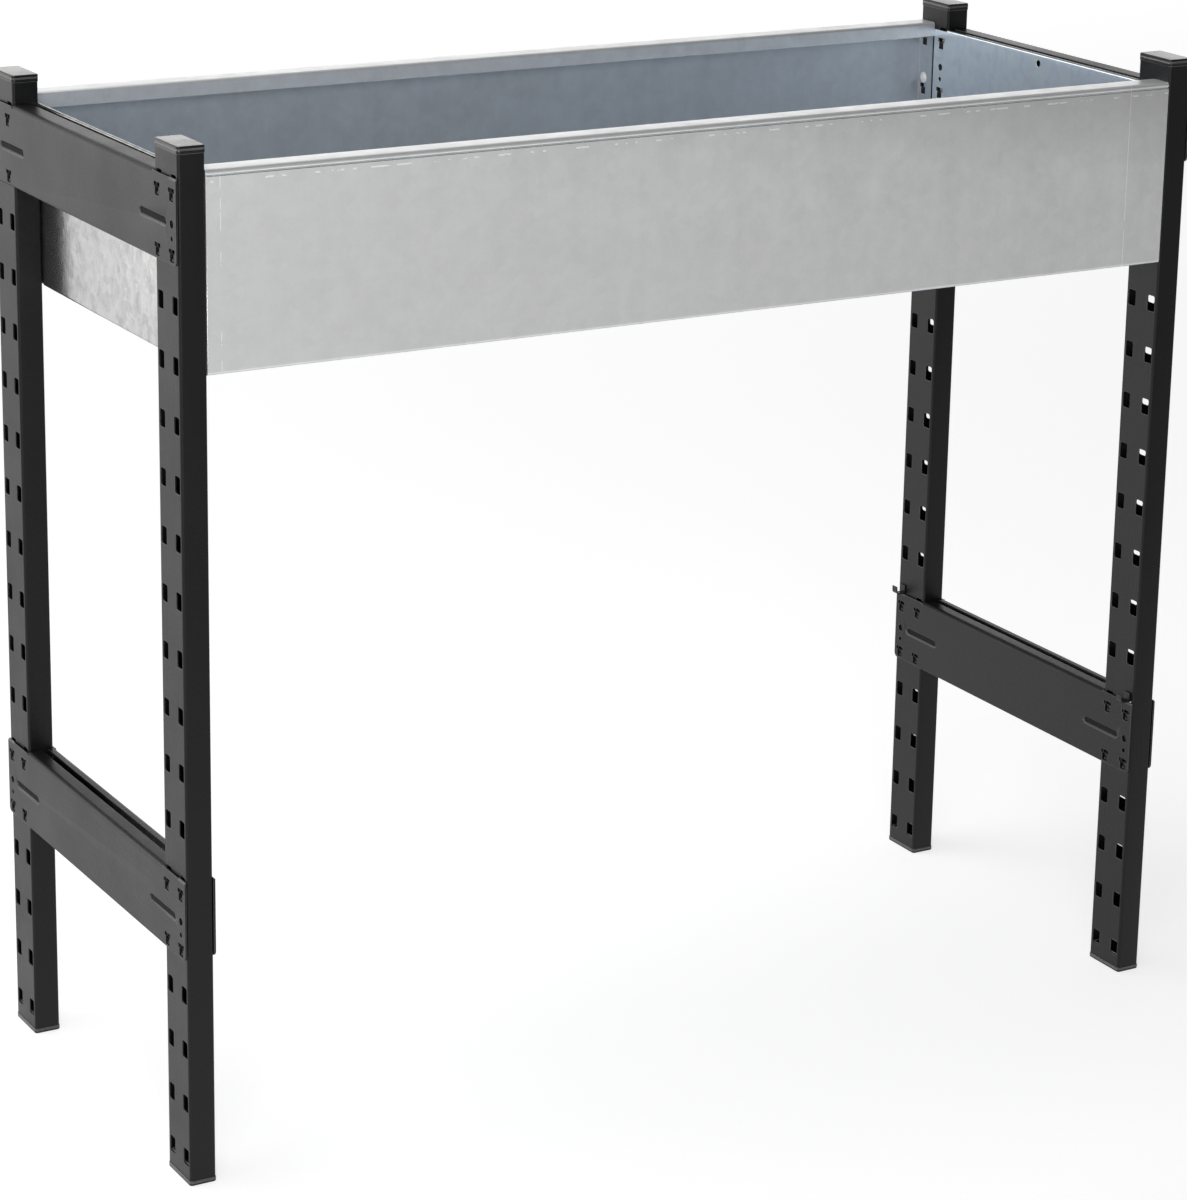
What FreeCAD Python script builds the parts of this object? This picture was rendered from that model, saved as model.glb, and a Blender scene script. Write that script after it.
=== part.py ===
"""Raised planter on legs: a boltless steel frame that carries a galvanised trough at hip height.

The long side runs along X, the front faces -Y and +Z is up. The origin is the centre of the footprint.
Four perforated posts stand at the corners. Six cross-beams and four galvanised panels hang in their slots
by hooks, and two small clips lock the inner beam of the right end. All sizes are in millimetres.
"""
import FreeCAD, Part

import math
import os

V = FreeCAD.Vector

# Modelling tolerances
PARALLEL = 0.99
SAME_HEIGHT = 0.01
SKIN_TOLERANCE = 0.001

# Frame over the outer faces of the posts
FRAME_LENGTH = 1016.0
FRAME_DEPTH = 402.0
FIT_GAP = 0.3

# Posts: pierced rectangular tube
POST_X = 24.0
POST_Y = 46.5
POST_LENGTH = 900.0
POST_WALL = 1.4
POST_CORNER = 2.5
SLOT_PITCH = 50.0
SLOT_COUNT = 18
SLOT_WIDTH = 10.5
SLOT_HEIGHT = 15.0
SLOT_CORNER = 2.0
FIRST_SLOT_Z = 24.0
SLOT_COLUMN = 14.3

# Moulded caps at both ends of each post
CAP_PROUD = 0.5
CAP_PLATE = 3.0
TOP_SKIRT = 3.7
FOOT_SKIRT = 1.6
CAP_EDGE = 1.2
PLUG_DEPTH = 14.0
PLUG_WALL = 1.6
PLUG_GAP = 0.2

# Hooks lanced from a sheet, hanging in the post slots
HOOK_TOP_BELOW_SLOT = 3.0
HOOK_OPENING = 11.0
HOOK_SHOULDER = 4.0
HOOK_WIDE = 11.5
HOOK_NARROW = 7.5
TONGUE_WIDTH = 6.5
TONGUE_SHEET = 1.4
TONGUE_DROP = 11.0
TONGUE_GAP = 0.4
PEG_HOLE_RADIUS = 3.4
PEG_HOLE_BELOW_SLOT = 32.5
PIN_HOLE_RADIUS = 2.2
PIN_HOLE_BELOW_SLOT = 44.5

# Cross-beams: pressed plate with a folded top flange between the posts
BEAM_SHEET = 2.0
BEAM_HEIGHT = 72.5
BEAM_BELOW_SLOT = 66.0
BEAM_BEND = 4.5
UPPER_FLANGE = 18.0
WIDE_LOWER_FLANGE = 14.0
NARROW_LOWER_FLANGE = 8.2
TAB_DROP = 1.0
TAB_CORNER = 5.0
RIB_START = 20.0
RIB_LENGTH = 53.5
RIB_WIDTH = 6.5
RIB_DEPTH = 1.2
RIB_BELOW_SLOT = 32.0
RIB_END_FLAT = 0.05
UPPER_SLOT = 17
LOWER_SLOT = 5

# Galvanised panels
PANEL_SHEET = 1.0
PANEL_BEND = 3.0
PANEL_BOTTOM = 715.0
LONG_TOP = 885.0
LONG_FLANGE = 25.0
LONG_LIP = 14.0
END_FLANGE = 22.5
END_TOP = 880.5
END_STRIP_TOP = 878.5
END_BEAD = 4.0
END_FOOT = 25.0
STRIP_WIDTH = 21.0
MID_HOLE_RADIUS = 3.2
MID_HOLE_Z = 871.0
PANEL_HOOK_ROWS = 3

# White push-in plugs that pin the long panels to the posts
BUTTON_RADIUS = 5.5
BUTTON_DOME = 2.6
BUTTON_STEM_RADIUS = 4.2
BUTTON_STEM = 5.0
BUTTON_Z = 827.0

# Floor of the trough
FLOOR_COUNT = 4
FLOOR_GAP = 1.0
FLOOR_SHEET = 1.0
FLOOR_SIDE_GAP = 1.0
CHANNEL_WIDTH = 22.0
CHANNEL_DEPTH = 8.0
CHANNEL_HALF_LENGTH = 165.0
CHANNEL_OFFSET = 62.0
DRAIN_RADIUS = 4.0
DRAIN_ROWS = 5
DRAIN_PITCH = 70.0

# Locking clips over the lower right inner beam
CLIP_WIDTH = 8.0
CLIP_SHEET = 1.0
CLIP_REACH = 12.0
CLIP_ARM = 7.5
CLIP_CURL = 4.0
CLIP_TAB = 4.5
CLIP_STOP_HEIGHT = 8.0
CLIP_BELOW_SLOT_TOP = 0.4
CLIP_STOP_GAP = 0.5

# Worked out from the sizes above
POST_BASE = CAP_PLATE
POST_HEAD = POST_BASE + POST_LENGTH
POST_CENTRE_X = FRAME_LENGTH / 2 - POST_X / 2
POST_CENTRE_Y = FRAME_DEPTH / 2 - POST_Y / 2
INNER_X = FRAME_LENGTH / 2 - POST_X
INNER_Y = FRAME_DEPTH / 2 - POST_Y
SIDES = {"left": -1, "right": 1}
ENDS = {"front": -1, "back": 1}
LOWER_FLANGES = {
    "left": (WIDE_LOWER_FLANGE, NARROW_LOWER_FLANGE),
    "right": (NARROW_LOWER_FLANGE, WIDE_LOWER_FLANGE),
}


def slot_z(row):
    """Height of the centre of a slot, counted up from the lowest."""
    return FIRST_SLOT_Z + SLOT_PITCH * row


def box(x_range, y_range, z_range):
    """Box between two limits on each axis, given in any order."""
    low = V(min(x_range), min(y_range), min(z_range))
    size = V(max(x_range), max(y_range), max(z_range)) - low
    return Part.makeBox(size.x, size.y, size.z, low)


def rounded_box(x_range, y_range, z_range, radius, axis):
    """Box whose four edges along one axis are rounded."""
    solid = box(x_range, y_range, z_range)
    along = {"x": V(1, 0, 0), "y": V(0, 1, 0), "z": V(0, 0, 1)}[axis]
    edges = [e for e in solid.Edges if abs(e.tangentAt(e.FirstParameter).dot(along)) > PARALLEL]
    return solid.makeFillet(radius, edges)


def pin_along_x(x_range, y, z, radius):
    """Round pin or hole along X."""
    low, high = min(x_range), max(x_range)
    return Part.makeCylinder(radius, high - low, V(low, y, z), V(1, 0, 0))


def folded_strip(corners, thickness, bend, extent):
    """Sheet folded along a line of corners, each rounded to the bend radius, and swept along a vector.

    The corners follow one face of the sheet, and the sign of the thickness says on which side it lies.
    """
    edges = []
    start = corners[0]
    for before, corner, after in zip(corners, corners[1:], corners[2:]):
        back = (before - corner).normalize()
        ahead = (after - corner).normalize()
        reach = bend / math.tan(back.getAngle(ahead) / 2)
        first = corner + back * reach
        last = corner + ahead * reach
        middle_way = (back + ahead).normalize()
        centre = corner + middle_way * (bend / math.sin(back.getAngle(ahead) / 2))
        middle = centre - middle_way * bend
        edges.append(Part.makeLine(start, first))
        edges.append(Part.Arc(first, middle, last).toShape())
        start = last
    edges.append(Part.makeLine(start, corners[-1]))
    shell = Part.Wire(edges).extrude(extent)
    solid = shell.makeOffsetShape(thickness, SKIN_TOLERANCE, fill=True, join=2)
    if not isinstance(solid, Part.Solid):
        solid = Part.Solid(solid.Shells[0])
    if solid.Volume < 0:
        solid.reverse()
    return solid


def post(side, end):
    """Closed rectangular tube with two columns of slots through both X faces."""
    x = side * POST_CENTRE_X
    y = end * POST_CENTRE_Y
    half_x = POST_X / 2
    half_y = POST_Y / 2
    wall = POST_WALL
    outer = rounded_box(
        (x - half_x, x + half_x),
        (y - half_y, y + half_y),
        (POST_BASE, POST_HEAD),
        POST_CORNER,
        "z",
    )
    bore = rounded_box(
        (x - half_x + wall, x + half_x - wall),
        (y - half_y + wall, y + half_y - wall),
        (POST_BASE, POST_HEAD),
        POST_CORNER - wall,
        "z",
    )
    slots = []
    for row in range(SLOT_COUNT):
        for column in (-SLOT_COLUMN, SLOT_COLUMN):
            across = (y + column - SLOT_WIDTH / 2, y + column + SLOT_WIDTH / 2)
            up = (slot_z(row) - SLOT_HEIGHT / 2, slot_z(row) + SLOT_HEIGHT / 2)
            slots.append(rounded_box((x - POST_X, x + POST_X), across, up, SLOT_CORNER, "x"))
    return outer.cut([bore] + slots)


def post_cap(side, end, seat, direction, skirt):
    """Moulded cap: a plate with rounded rim, a skirt round the tube and a hollow plug inside it."""
    x = side * POST_CENTRE_X
    y = end * POST_CENTRE_Y
    half_x = POST_X / 2 + CAP_PROUD
    half_y = POST_Y / 2 + CAP_PROUD
    face = seat + direction * CAP_PLATE
    body = rounded_box(
        (x - half_x, x + half_x),
        (y - half_y, y + half_y),
        (seat - direction * skirt, face),
        POST_CORNER + CAP_PROUD,
        "z",
    )
    rim = [e for e in body.Edges if all(abs(v.Z - face) < SAME_HEIGHT for v in e.Vertexes)]
    body = body.makeFillet(CAP_EDGE, rim)
    socket = rounded_box(
        (x - POST_X / 2, x + POST_X / 2),
        (y - POST_Y / 2, y + POST_Y / 2),
        (seat - direction * 2 * skirt, seat),
        POST_CORNER,
        "z",
    )
    plug_x = POST_X / 2 - POST_WALL - PLUG_GAP
    plug_y = POST_Y / 2 - POST_WALL - PLUG_GAP
    plug = box((x - plug_x, x + plug_x), (y - plug_y, y + plug_y), (seat - direction * PLUG_DEPTH, seat))
    hollow = box(
        (x - plug_x + PLUG_WALL, x + plug_x - PLUG_WALL),
        (y - plug_y + PLUG_WALL, y + plug_y - PLUG_WALL),
        (seat - direction * PLUG_DEPTH, seat),
    )
    return body.cut(socket).fuse(plug.cut(hollow)).removeSplitter()


def hook_cutter(x_range, y, slot_centre):
    """Opening left where a hook was lanced: wide shoulders above a narrower throat."""
    top = slot_centre - HOOK_TOP_BELOW_SLOT
    shoulder = top - HOOK_SHOULDER
    wide = box(x_range, (y - HOOK_WIDE / 2, y + HOOK_WIDE / 2), (shoulder, top))
    throat = box(x_range, (y - HOOK_NARROW / 2, y + HOOK_NARROW / 2), (top - HOOK_OPENING, top))
    return wide.fuse(throat)


def hook_tongue(face_x, toward, sheet, y, slot_centre):
    """Tongue folded through the slot and down behind the wall of the post.

    face_x is the face of the sheet next to the post, and toward is the way from the sheet to the post.
    """
    top = slot_centre - HOOK_TOP_BELOW_SLOT
    across = (y - TONGUE_WIDTH / 2, y + TONGUE_WIDTH / 2)
    behind = face_x + toward * (FIT_GAP + POST_WALL + TONGUE_GAP)
    far = behind + toward * TONGUE_SHEET
    bridge = box((face_x - toward * sheet, far), across, (top, top + TONGUE_SHEET))
    leg = box((behind, far), across, (top + TONGUE_SHEET - TONGUE_DROP, top + TONGUE_SHEET))
    return bridge.fuse(leg)


def hooked(sheet_solid, face_x, toward, sheet, ys, rows):
    """Sheet with a hook at each height and place given."""
    cut_range = (face_x - toward * 2 * sheet, face_x + toward * sheet)
    openings = [hook_cutter(cut_range, y, slot_z(row)) for y in ys for row in rows]
    tongues = [hook_tongue(face_x, toward, sheet, y, slot_z(row)) for y in ys for row in rows]
    return sheet_solid.cut(openings).fuse(tongues).removeSplitter()


def cross_beam(face_x, toward, top_row, flange):
    """Beam across the end of the frame: hooked end tabs, two pressed ribs and a folded top flange."""
    away = face_x - toward * BEAM_SHEET
    bottom = slot_z(top_row) - BEAM_BELOW_SLOT
    top = bottom + BEAM_HEIGHT
    half = FRAME_DEPTH / 2
    tab_top = top - TAB_DROP
    tabs = rounded_box((face_x, away), (-half, half), (bottom, tab_top), TAB_CORNER, "x")
    square = box((face_x, away), (-half, half), (bottom + BEAM_HEIGHT / 2, tab_top))
    plate = tabs.fuse(square)
    inside = INNER_Y - 2 * FIT_GAP
    upper = box((face_x, away), (-inside, inside), (tab_top, top))
    edge_x = away + toward * flange
    corners = [V(away, -inside, bottom + BEAM_HEIGHT / 2), V(away, -inside, top), V(edge_x, -inside, top)]
    fold = folded_strip(corners, toward * BEAM_SHEET, BEAM_BEND, V(0, 2 * inside, 0))
    corner_waste = box((face_x, away), (-inside, inside), (top - BEAM_BEND - 1, top))
    plate = plate.fuse(upper).cut(corner_waste).fuse(fold)
    cutters = []
    columns = []
    middle = slot_z(top_row)
    peg_z = middle - PEG_HOLE_BELOW_SLOT
    pin_z = middle - PIN_HOLE_BELOW_SLOT
    rib_z = middle - RIB_BELOW_SLOT
    through = (face_x + toward, away - toward)
    groove = (away - toward * RIB_DEPTH, away + toward * RIB_DEPTH)
    for end in ENDS.values():
        outer_column = end * (POST_CENTRE_Y + SLOT_COLUMN)
        columns += [end * (POST_CENTRE_Y - SLOT_COLUMN), outer_column]
        cutters.append(pin_along_x(through, outer_column, peg_z, PEG_HOLE_RADIUS))
        cutters.append(pin_along_x(through, outer_column, pin_z, PIN_HOLE_RADIUS))
        along = (end * (half - RIB_START), end * (half - RIB_START - RIB_LENGTH))
        up = (rib_z - RIB_WIDTH / 2, rib_z + RIB_WIDTH / 2)
        cutters.append(rounded_box(groove, along, up, RIB_WIDTH / 2 - RIB_END_FLAT, "x"))
    plate = plate.cut(cutters)
    return hooked(plate, face_x, toward, BEAM_SHEET, columns, (top_row, top_row - 1))


def long_panel(end):
    """Long side of the trough: face, top flange with a lip, foot flange and two hooked end flanges."""
    face_y = end * FRAME_DEPTH / 2
    half = INNER_X - FIT_GAP
    inner_y = face_y - end * LONG_FLANGE
    corners = [
        V(-half, inner_y, PANEL_BOTTOM),
        V(-half, face_y, PANEL_BOTTOM),
        V(-half, face_y, LONG_TOP),
        V(-half, inner_y, LONG_TOP),
        V(-half, inner_y, LONG_TOP - LONG_LIP),
    ]
    panel = folded_strip(corners, end * PANEL_SHEET, PANEL_BEND, V(2 * half, 0, 0))
    column = end * (POST_CENTRE_Y + SLOT_COLUMN)
    rows = range(UPPER_SLOT - PANEL_HOOK_ROWS + 1, UPPER_SLOT + 1)
    for side in SIDES.values():
        face_x = side * half
        flange = box(
            (face_x, face_x - side * PANEL_SHEET),
            (face_y - end * PANEL_SHEET / 2, face_y - end * END_FLANGE),
            (PANEL_BOTTOM + PANEL_SHEET / 2, LONG_TOP - PANEL_SHEET / 2),
        )
        hole = pin_along_x((face_x - side * 2, face_x + side), column, BUTTON_Z, BUTTON_STEM_RADIUS)
        panel = panel.fuse(hooked(flange.cut(hole), face_x, side, PANEL_SHEET, [column], rows))
    return panel.removeSplitter()


def end_panel(side):
    """Short side of the trough: web with a rolled top bead, foot flange and a hooked strip at each end."""
    face_x = side * (INNER_X - FIT_GAP)
    inside = INNER_Y - 2 * FIT_GAP
    corners = [
        V(face_x - side * END_FOOT, -inside, PANEL_BOTTOM),
        V(face_x, -inside, PANEL_BOTTOM),
        V(face_x, -inside, END_TOP),
    ]
    foot = folded_strip(corners, -side * PANEL_SHEET, PANEL_BEND, V(0, 2 * inside, 0))
    bead_radius = END_BEAD / 2
    bead_centre = V(face_x - side * (PANEL_SHEET - bead_radius), -inside, END_TOP - bead_radius)
    bead = Part.makeCylinder(bead_radius, 2 * inside, bead_centre, V(0, 1, 0))
    trimmed = foot.common(box((-INNER_X, INNER_X), (-inside, inside), (0, END_TOP - bead_radius)))
    panel = trimmed.fuse(bead)
    rows = range(UPPER_SLOT - PANEL_HOOK_ROWS + 1, UPPER_SLOT + 1)
    for end in ENDS.values():
        strip = box(
            (face_x, face_x - side * PANEL_SHEET),
            (end * (inside - 1), end * (INNER_Y + STRIP_WIDTH)),
            (PANEL_BOTTOM + PANEL_BEND, END_STRIP_TOP),
        )
        column = end * (POST_CENTRE_Y - SLOT_COLUMN)
        middle = slot_z(UPPER_SLOT)
        through = (face_x - side * 2, face_x + side)
        peg = pin_along_x(through, column, middle - PEG_HOLE_BELOW_SLOT, PEG_HOLE_RADIUS)
        pin = pin_along_x(through, column, middle - PIN_HOLE_BELOW_SLOT, PIN_HOLE_RADIUS)
        panel = panel.fuse(hooked(strip.cut([peg, pin]), face_x, side, PANEL_SHEET, [column], rows))
    hole = pin_along_x((face_x - side * 2, face_x + side), 0, MID_HOLE_Z, MID_HOLE_RADIUS)
    return panel.cut(hole).removeSplitter()


def panel_plug(side, end):
    """Push-in plug: domed head on the panel flange and a short stem in the slot of the post."""
    seat = side * (INNER_X - FIT_GAP - PANEL_SHEET)
    y = end * (POST_CENTRE_Y + SLOT_COLUMN)
    sphere_radius = (BUTTON_RADIUS ** 2 + BUTTON_DOME ** 2) / (2 * BUTTON_DOME)
    ball = Part.makeSphere(sphere_radius, V(seat + side * (sphere_radius - BUTTON_DOME), y, BUTTON_Z))
    around = 2 * BUTTON_RADIUS
    near_seat = box(
        (seat, seat - side * BUTTON_DOME),
        (y - around, y + around),
        (BUTTON_Z - around, BUTTON_Z + around),
    )
    head = ball.common(near_seat)
    stem = pin_along_x((seat, seat + side * BUTTON_STEM), y, BUTTON_Z, BUTTON_STEM_RADIUS - FIT_GAP / 2)
    return head.fuse(stem).removeSplitter()


def floor_panel(index):
    """One of the loose floor sheets, stiffened by two pressed channels and pierced for drainage."""
    inner_half = INNER_X - FIT_GAP - PANEL_SHEET - FLOOR_SIDE_GAP
    width = (2 * inner_half - FLOOR_GAP * (FLOOR_COUNT - 1)) / FLOOR_COUNT
    start = -inner_half + index * (width + FLOOR_GAP)
    centre = start + width / 2
    half_y = FRAME_DEPTH / 2 - PANEL_SHEET - FLOOR_SIDE_GAP - PANEL_BEND
    low = PANEL_BOTTOM + PANEL_SHEET + FIT_GAP
    high = low + FLOOR_SHEET
    sheet = box((start, start + width), (-half_y, half_y), (low, high))
    for offset in (-CHANNEL_OFFSET, CHANNEL_OFFSET):
        x = centre + offset
        half = CHANNEL_WIDTH / 2
        wall = FLOOR_SHEET
        y_range = (-CHANNEL_HALF_LENGTH, CHANNEL_HALF_LENGTH)
        gap_x = (x - half + wall, x + half - wall)
        gap_y = (-CHANNEL_HALF_LENGTH + wall, CHANNEL_HALF_LENGTH - wall)
        trough = rounded_box((x - half, x + half), y_range, (low - CHANNEL_DEPTH, high), 2 * wall, "z")
        void = rounded_box(gap_x, gap_y, (low - CHANNEL_DEPTH + wall, high), wall, "z")
        sheet = sheet.fuse(trough).cut(void)
    drains = []
    for row in range(DRAIN_ROWS):
        y = (row - (DRAIN_ROWS - 1) / 2) * DRAIN_PITCH
        for x in (centre - CHANNEL_OFFSET, centre, centre + CHANNEL_OFFSET):
            drain_foot = V(x, y, low - 2 * CHANNEL_DEPTH)
            drains.append(Part.makeCylinder(DRAIN_RADIUS, 3 * CHANNEL_DEPTH, drain_foot))
    return sheet.cut(drains).removeSplitter()


def lock_clip(end):
    """Spring-steel clip: a tongue in the slot above the beam, a stop by the post and a curled tab."""
    y = end * (POST_CENTRE_Y + SLOT_COLUMN)
    across = (y - CLIP_WIDTH / 2, y + CLIP_WIDTH / 2)
    top = slot_z(LOWER_SLOT) + SLOT_HEIGHT / 2 - CLIP_BELOW_SLOT_TOP
    low = top - CLIP_SHEET
    stop_x = INNER_X - CLIP_STOP_GAP
    curl_x = INNER_X - CLIP_ARM
    arm = box((INNER_X + CLIP_REACH, curl_x), across, (low, top))
    stop = box((stop_x, stop_x - CLIP_SHEET), across, (low, top + CLIP_STOP_HEIGHT))
    axis = V(curl_x, min(across), low + CLIP_CURL)
    outer = Part.makeCylinder(CLIP_CURL, CLIP_WIDTH, axis, V(0, 1, 0))
    inner = Part.makeCylinder(CLIP_CURL - CLIP_SHEET, CLIP_WIDTH, axis, V(0, 1, 0))
    quarter = box((curl_x, curl_x - CLIP_CURL), across, (low, low + CLIP_CURL))
    curl = outer.cut(inner).common(quarter)
    tab_x = curl_x - CLIP_CURL
    tab = box((tab_x, tab_x + CLIP_SHEET), across, (low + CLIP_CURL, low + CLIP_CURL + CLIP_TAB))
    return arm.fuse([stop, curl, tab]).removeSplitter()


def save(shape, name):
    """Writes one piece, or one group of like pieces, after checking it."""
    if not shape.isValid():
        raise ValueError(name + " is not a valid shape")
    shape.exportStep("parts/" + name + ".step")
    print(name, len(shape.Solids), round(shape.Volume), shape.BoundBox)


def main():
    os.makedirs("parts", exist_ok=True)
    outer_face = FRAME_LENGTH / 2 + FIT_GAP
    inner_face = INNER_X - FIT_GAP
    for side_name, side in SIDES.items():
        for end_name, end in ENDS.items():
            corner = end_name + "_" + side_name
            save(post(side, end), "upright_" + corner)
            save(post_cap(side, end, POST_HEAD, 1, TOP_SKIRT), "top_cap_" + corner)
            save(post_cap(side, end, POST_BASE, -1, FOOT_SKIRT), "foot_cap_" + corner)
        outer_flange, inner_flange = LOWER_FLANGES[side_name]
        upper = cross_beam(side * outer_face, -side, UPPER_SLOT, UPPER_FLANGE)
        lower_outer = cross_beam(side * outer_face, -side, LOWER_SLOT, outer_flange)
        lower_inner = cross_beam(side * inner_face, side, LOWER_SLOT, inner_flange)
        save(upper, "cross_beam_upper_" + side_name)
        save(lower_outer, "cross_beam_lower_outer_" + side_name)
        save(lower_inner, "cross_beam_lower_inner_" + side_name)
        save(end_panel(side), "end_panel_" + side_name)
    for end_name, end in ENDS.items():
        save(long_panel(end), "long_panel_" + end_name)
        save(lock_clip(end), "lock_clip_" + end_name)
    plugs = [panel_plug(side, end) for side in SIDES.values() for end in ENDS.values()]
    save(Part.Compound(plugs), "panel_plugs")
    for index in range(FLOOR_COUNT):
        save(floor_panel(index), "floor_panel_" + str(index + 1))


main()
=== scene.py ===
import math

import bmesh
import bpy
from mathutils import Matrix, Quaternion, Vector


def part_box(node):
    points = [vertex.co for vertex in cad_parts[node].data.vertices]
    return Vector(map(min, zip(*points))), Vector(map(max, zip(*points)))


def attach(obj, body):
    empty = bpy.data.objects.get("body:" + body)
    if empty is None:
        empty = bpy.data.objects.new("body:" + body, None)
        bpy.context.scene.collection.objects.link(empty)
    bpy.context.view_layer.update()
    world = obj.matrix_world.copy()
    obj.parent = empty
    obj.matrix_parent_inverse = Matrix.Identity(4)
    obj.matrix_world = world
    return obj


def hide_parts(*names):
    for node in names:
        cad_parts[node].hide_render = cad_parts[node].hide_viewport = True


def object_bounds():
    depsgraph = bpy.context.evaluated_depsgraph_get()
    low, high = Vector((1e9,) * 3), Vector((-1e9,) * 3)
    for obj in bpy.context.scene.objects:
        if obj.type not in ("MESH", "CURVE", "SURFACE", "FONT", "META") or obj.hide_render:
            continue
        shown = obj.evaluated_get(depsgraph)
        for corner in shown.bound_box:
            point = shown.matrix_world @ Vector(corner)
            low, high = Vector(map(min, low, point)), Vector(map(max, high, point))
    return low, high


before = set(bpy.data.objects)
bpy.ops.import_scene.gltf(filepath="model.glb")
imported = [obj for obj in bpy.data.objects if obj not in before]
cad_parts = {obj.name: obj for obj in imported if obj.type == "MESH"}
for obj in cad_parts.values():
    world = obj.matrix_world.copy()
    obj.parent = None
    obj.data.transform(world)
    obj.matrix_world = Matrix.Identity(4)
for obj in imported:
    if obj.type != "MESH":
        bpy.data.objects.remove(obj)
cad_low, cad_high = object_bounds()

# Studio floor ---------------------------------------------------------------------------------
# A pale seamless paper sweep that glows behind and under the planter, and less just in front of
# it, so that the front wall stays grey. It isn't part of the planter.

FLOOR_REACH = 40.0
FLOOR_DROP = 0.0002
FLOOR_ALBEDO = 0.42
FLOOR_DEEPER = (-0.25, 0.97, 0.0)
FLOOR_NEAREST = -9.0
FLOOR_FARTHEST = 6.0
FLOOR_GLOW = (
    (0.0, 0.62), (0.267, 0.40), (0.40, 0.16), (0.493, 0.27), (0.56, 0.68), (0.733, 0.80),
    (1.0, 1.0),
)


def shader_node(tree, kind, at=(0, 0), **settings):
    """Adds one shader node. Each setting is a property of it or the value of one of its sockets."""
    made = tree.nodes.new(kind)
    made.location = at
    for name, value in settings.items():
        if name in made.bl_rna.properties:
            setattr(made, name, value)
        else:
            made.inputs[name.replace("_", " ")].default_value = value
    return made


def new_finish(name, **settings):
    """Node material with a Principled shader. Each setting is the value of one of its sockets."""
    finish = bpy.data.materials.new(name)
    finish.use_nodes = True
    tree = finish.node_tree
    tree.nodes.clear()
    output = shader_node(tree, "ShaderNodeOutputMaterial", (900, 0))
    shader = shader_node(tree, "ShaderNodeBsdfPrincipled", (600, 0), **settings)
    tree.links.new(shader.outputs["BSDF"], output.inputs["Surface"])
    return finish, tree, shader


floor_form = bmesh.new()
bmesh.ops.create_circle(floor_form, cap_ends=True, segments=64, radius=FLOOR_REACH)
bmesh.ops.translate(floor_form, verts=floor_form.verts, vec=(0, 0, cad_low.z - FLOOR_DROP))
floor_mesh = bpy.data.meshes.new("studio_floor")
floor_form.to_mesh(floor_mesh)
floor_form.free()
studio_floor = bpy.data.objects.new("studio_floor", floor_mesh)
bpy.context.scene.collection.objects.link(studio_floor)
paper, tree, shader = new_finish(
    "studio_paper", Roughness=0.9, Specular_IOR_Level=0.0, Emission_Strength=1.0,
)
shader.inputs["Base Color"].default_value = (FLOOR_ALBEDO, FLOOR_ALBEDO, FLOOR_ALBEDO, 1.0)
place = shader_node(tree, "ShaderNodeTexCoord", (-900, 0))
depth = shader_node(tree, "ShaderNodeVectorMath", (-700, 0), operation="DOT_PRODUCT")
depth.inputs[1].default_value = FLOOR_DEEPER
share = shader_node(
    tree, "ShaderNodeMapRange", (-500, 0), From_Min=FLOOR_NEAREST, From_Max=FLOOR_FARTHEST,
)
glow = shader_node(tree, "ShaderNodeValToRGB", (-250, 0))
for stop, _ in FLOOR_GLOW[1:-1]:
    glow.color_ramp.elements.new(stop)
for element, (stop, strength) in zip(glow.color_ramp.elements, FLOOR_GLOW):
    element.position = stop
    element.color = (strength, strength, strength, 1.0)
tree.links.new(place.outputs["Object"], depth.inputs[0])
tree.links.new(depth.outputs["Value"], share.inputs["Value"])
tree.links.new(share.outputs["Result"], glow.inputs["Fac"])
tree.links.new(glow.outputs["Color"], shader.inputs["Emission Color"])
floor_mesh.materials.append(paper)

# Studio light ---------------------------------------------------------------------------------
# A weak soft box behind the left end, a strong one in front of it and one overhead, in a room
# whose back wall is white low down and darker above. The walls in front are grey.


def soft_box(name, place, aim, width, height, power):
    """Rectangular area light at a place, facing a point."""
    light = bpy.data.lights.new(name, "AREA")
    light.shape = "RECTANGLE"
    light.size = width
    light.size_y = height
    light.energy = power
    lamp = bpy.data.objects.new(name, light)
    lamp.location = place
    lamp.rotation_mode = "QUATERNION"
    lamp.rotation_quaternion = (Vector(aim) - Vector(place)).to_track_quat("-Z", "Y")
    bpy.context.scene.collection.objects.link(lamp)


soft_box("soft_box_left", (-2.4, 2.0, 0.6), (-0.5, 0.0, 0.3), 2.0, 1.2, 8)
soft_box("soft_box_near", (-1.4, -2.2, 1.4), (-0.20, -0.2, 0.8), 1.4, 1.4, 41)
soft_box("soft_box_over", (-0.9, 0.4, 2.6), (-0.3, 0.0, 0.5), 2.0, 1.6, 34)

BACK_WALL_SIDE = (-0.45, 0.9, 0.0)
WALL_DARKEST = 0.14
WALL_BRIGHTEST = 1.5
WALL_TOP_STARTS = 0.24
WALL_TOP_ENDS = 0.42
WALL_TOP_SHARE = 0.25

room = bpy.data.worlds.new("studio_room")
room.use_nodes = True
air = room.node_tree
way = shader_node(air, "ShaderNodeTexCoord", (-900, 0))
way_parts = shader_node(air, "ShaderNodeSeparateXYZ", (-700, 0))
way_around = shader_node(air, "ShaderNodeVectorMath", (-700, 200), operation="DOT_PRODUCT")
way_around.inputs[1].default_value = BACK_WALL_SIDE
wall = shader_node(
    air, "ShaderNodeMapRange", (-500, 200), interpolation_type="SMOOTHSTEP",
    From_Min=-0.6, From_Max=0.6, To_Min=WALL_DARKEST, To_Max=WALL_BRIGHTEST,
)
wall_top = shader_node(
    air, "ShaderNodeMapRange", (-500, -100), interpolation_type="SMOOTHSTEP",
    From_Min=WALL_TOP_STARTS, From_Max=WALL_TOP_ENDS, To_Min=1.0, To_Max=WALL_TOP_SHARE,
)
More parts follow.
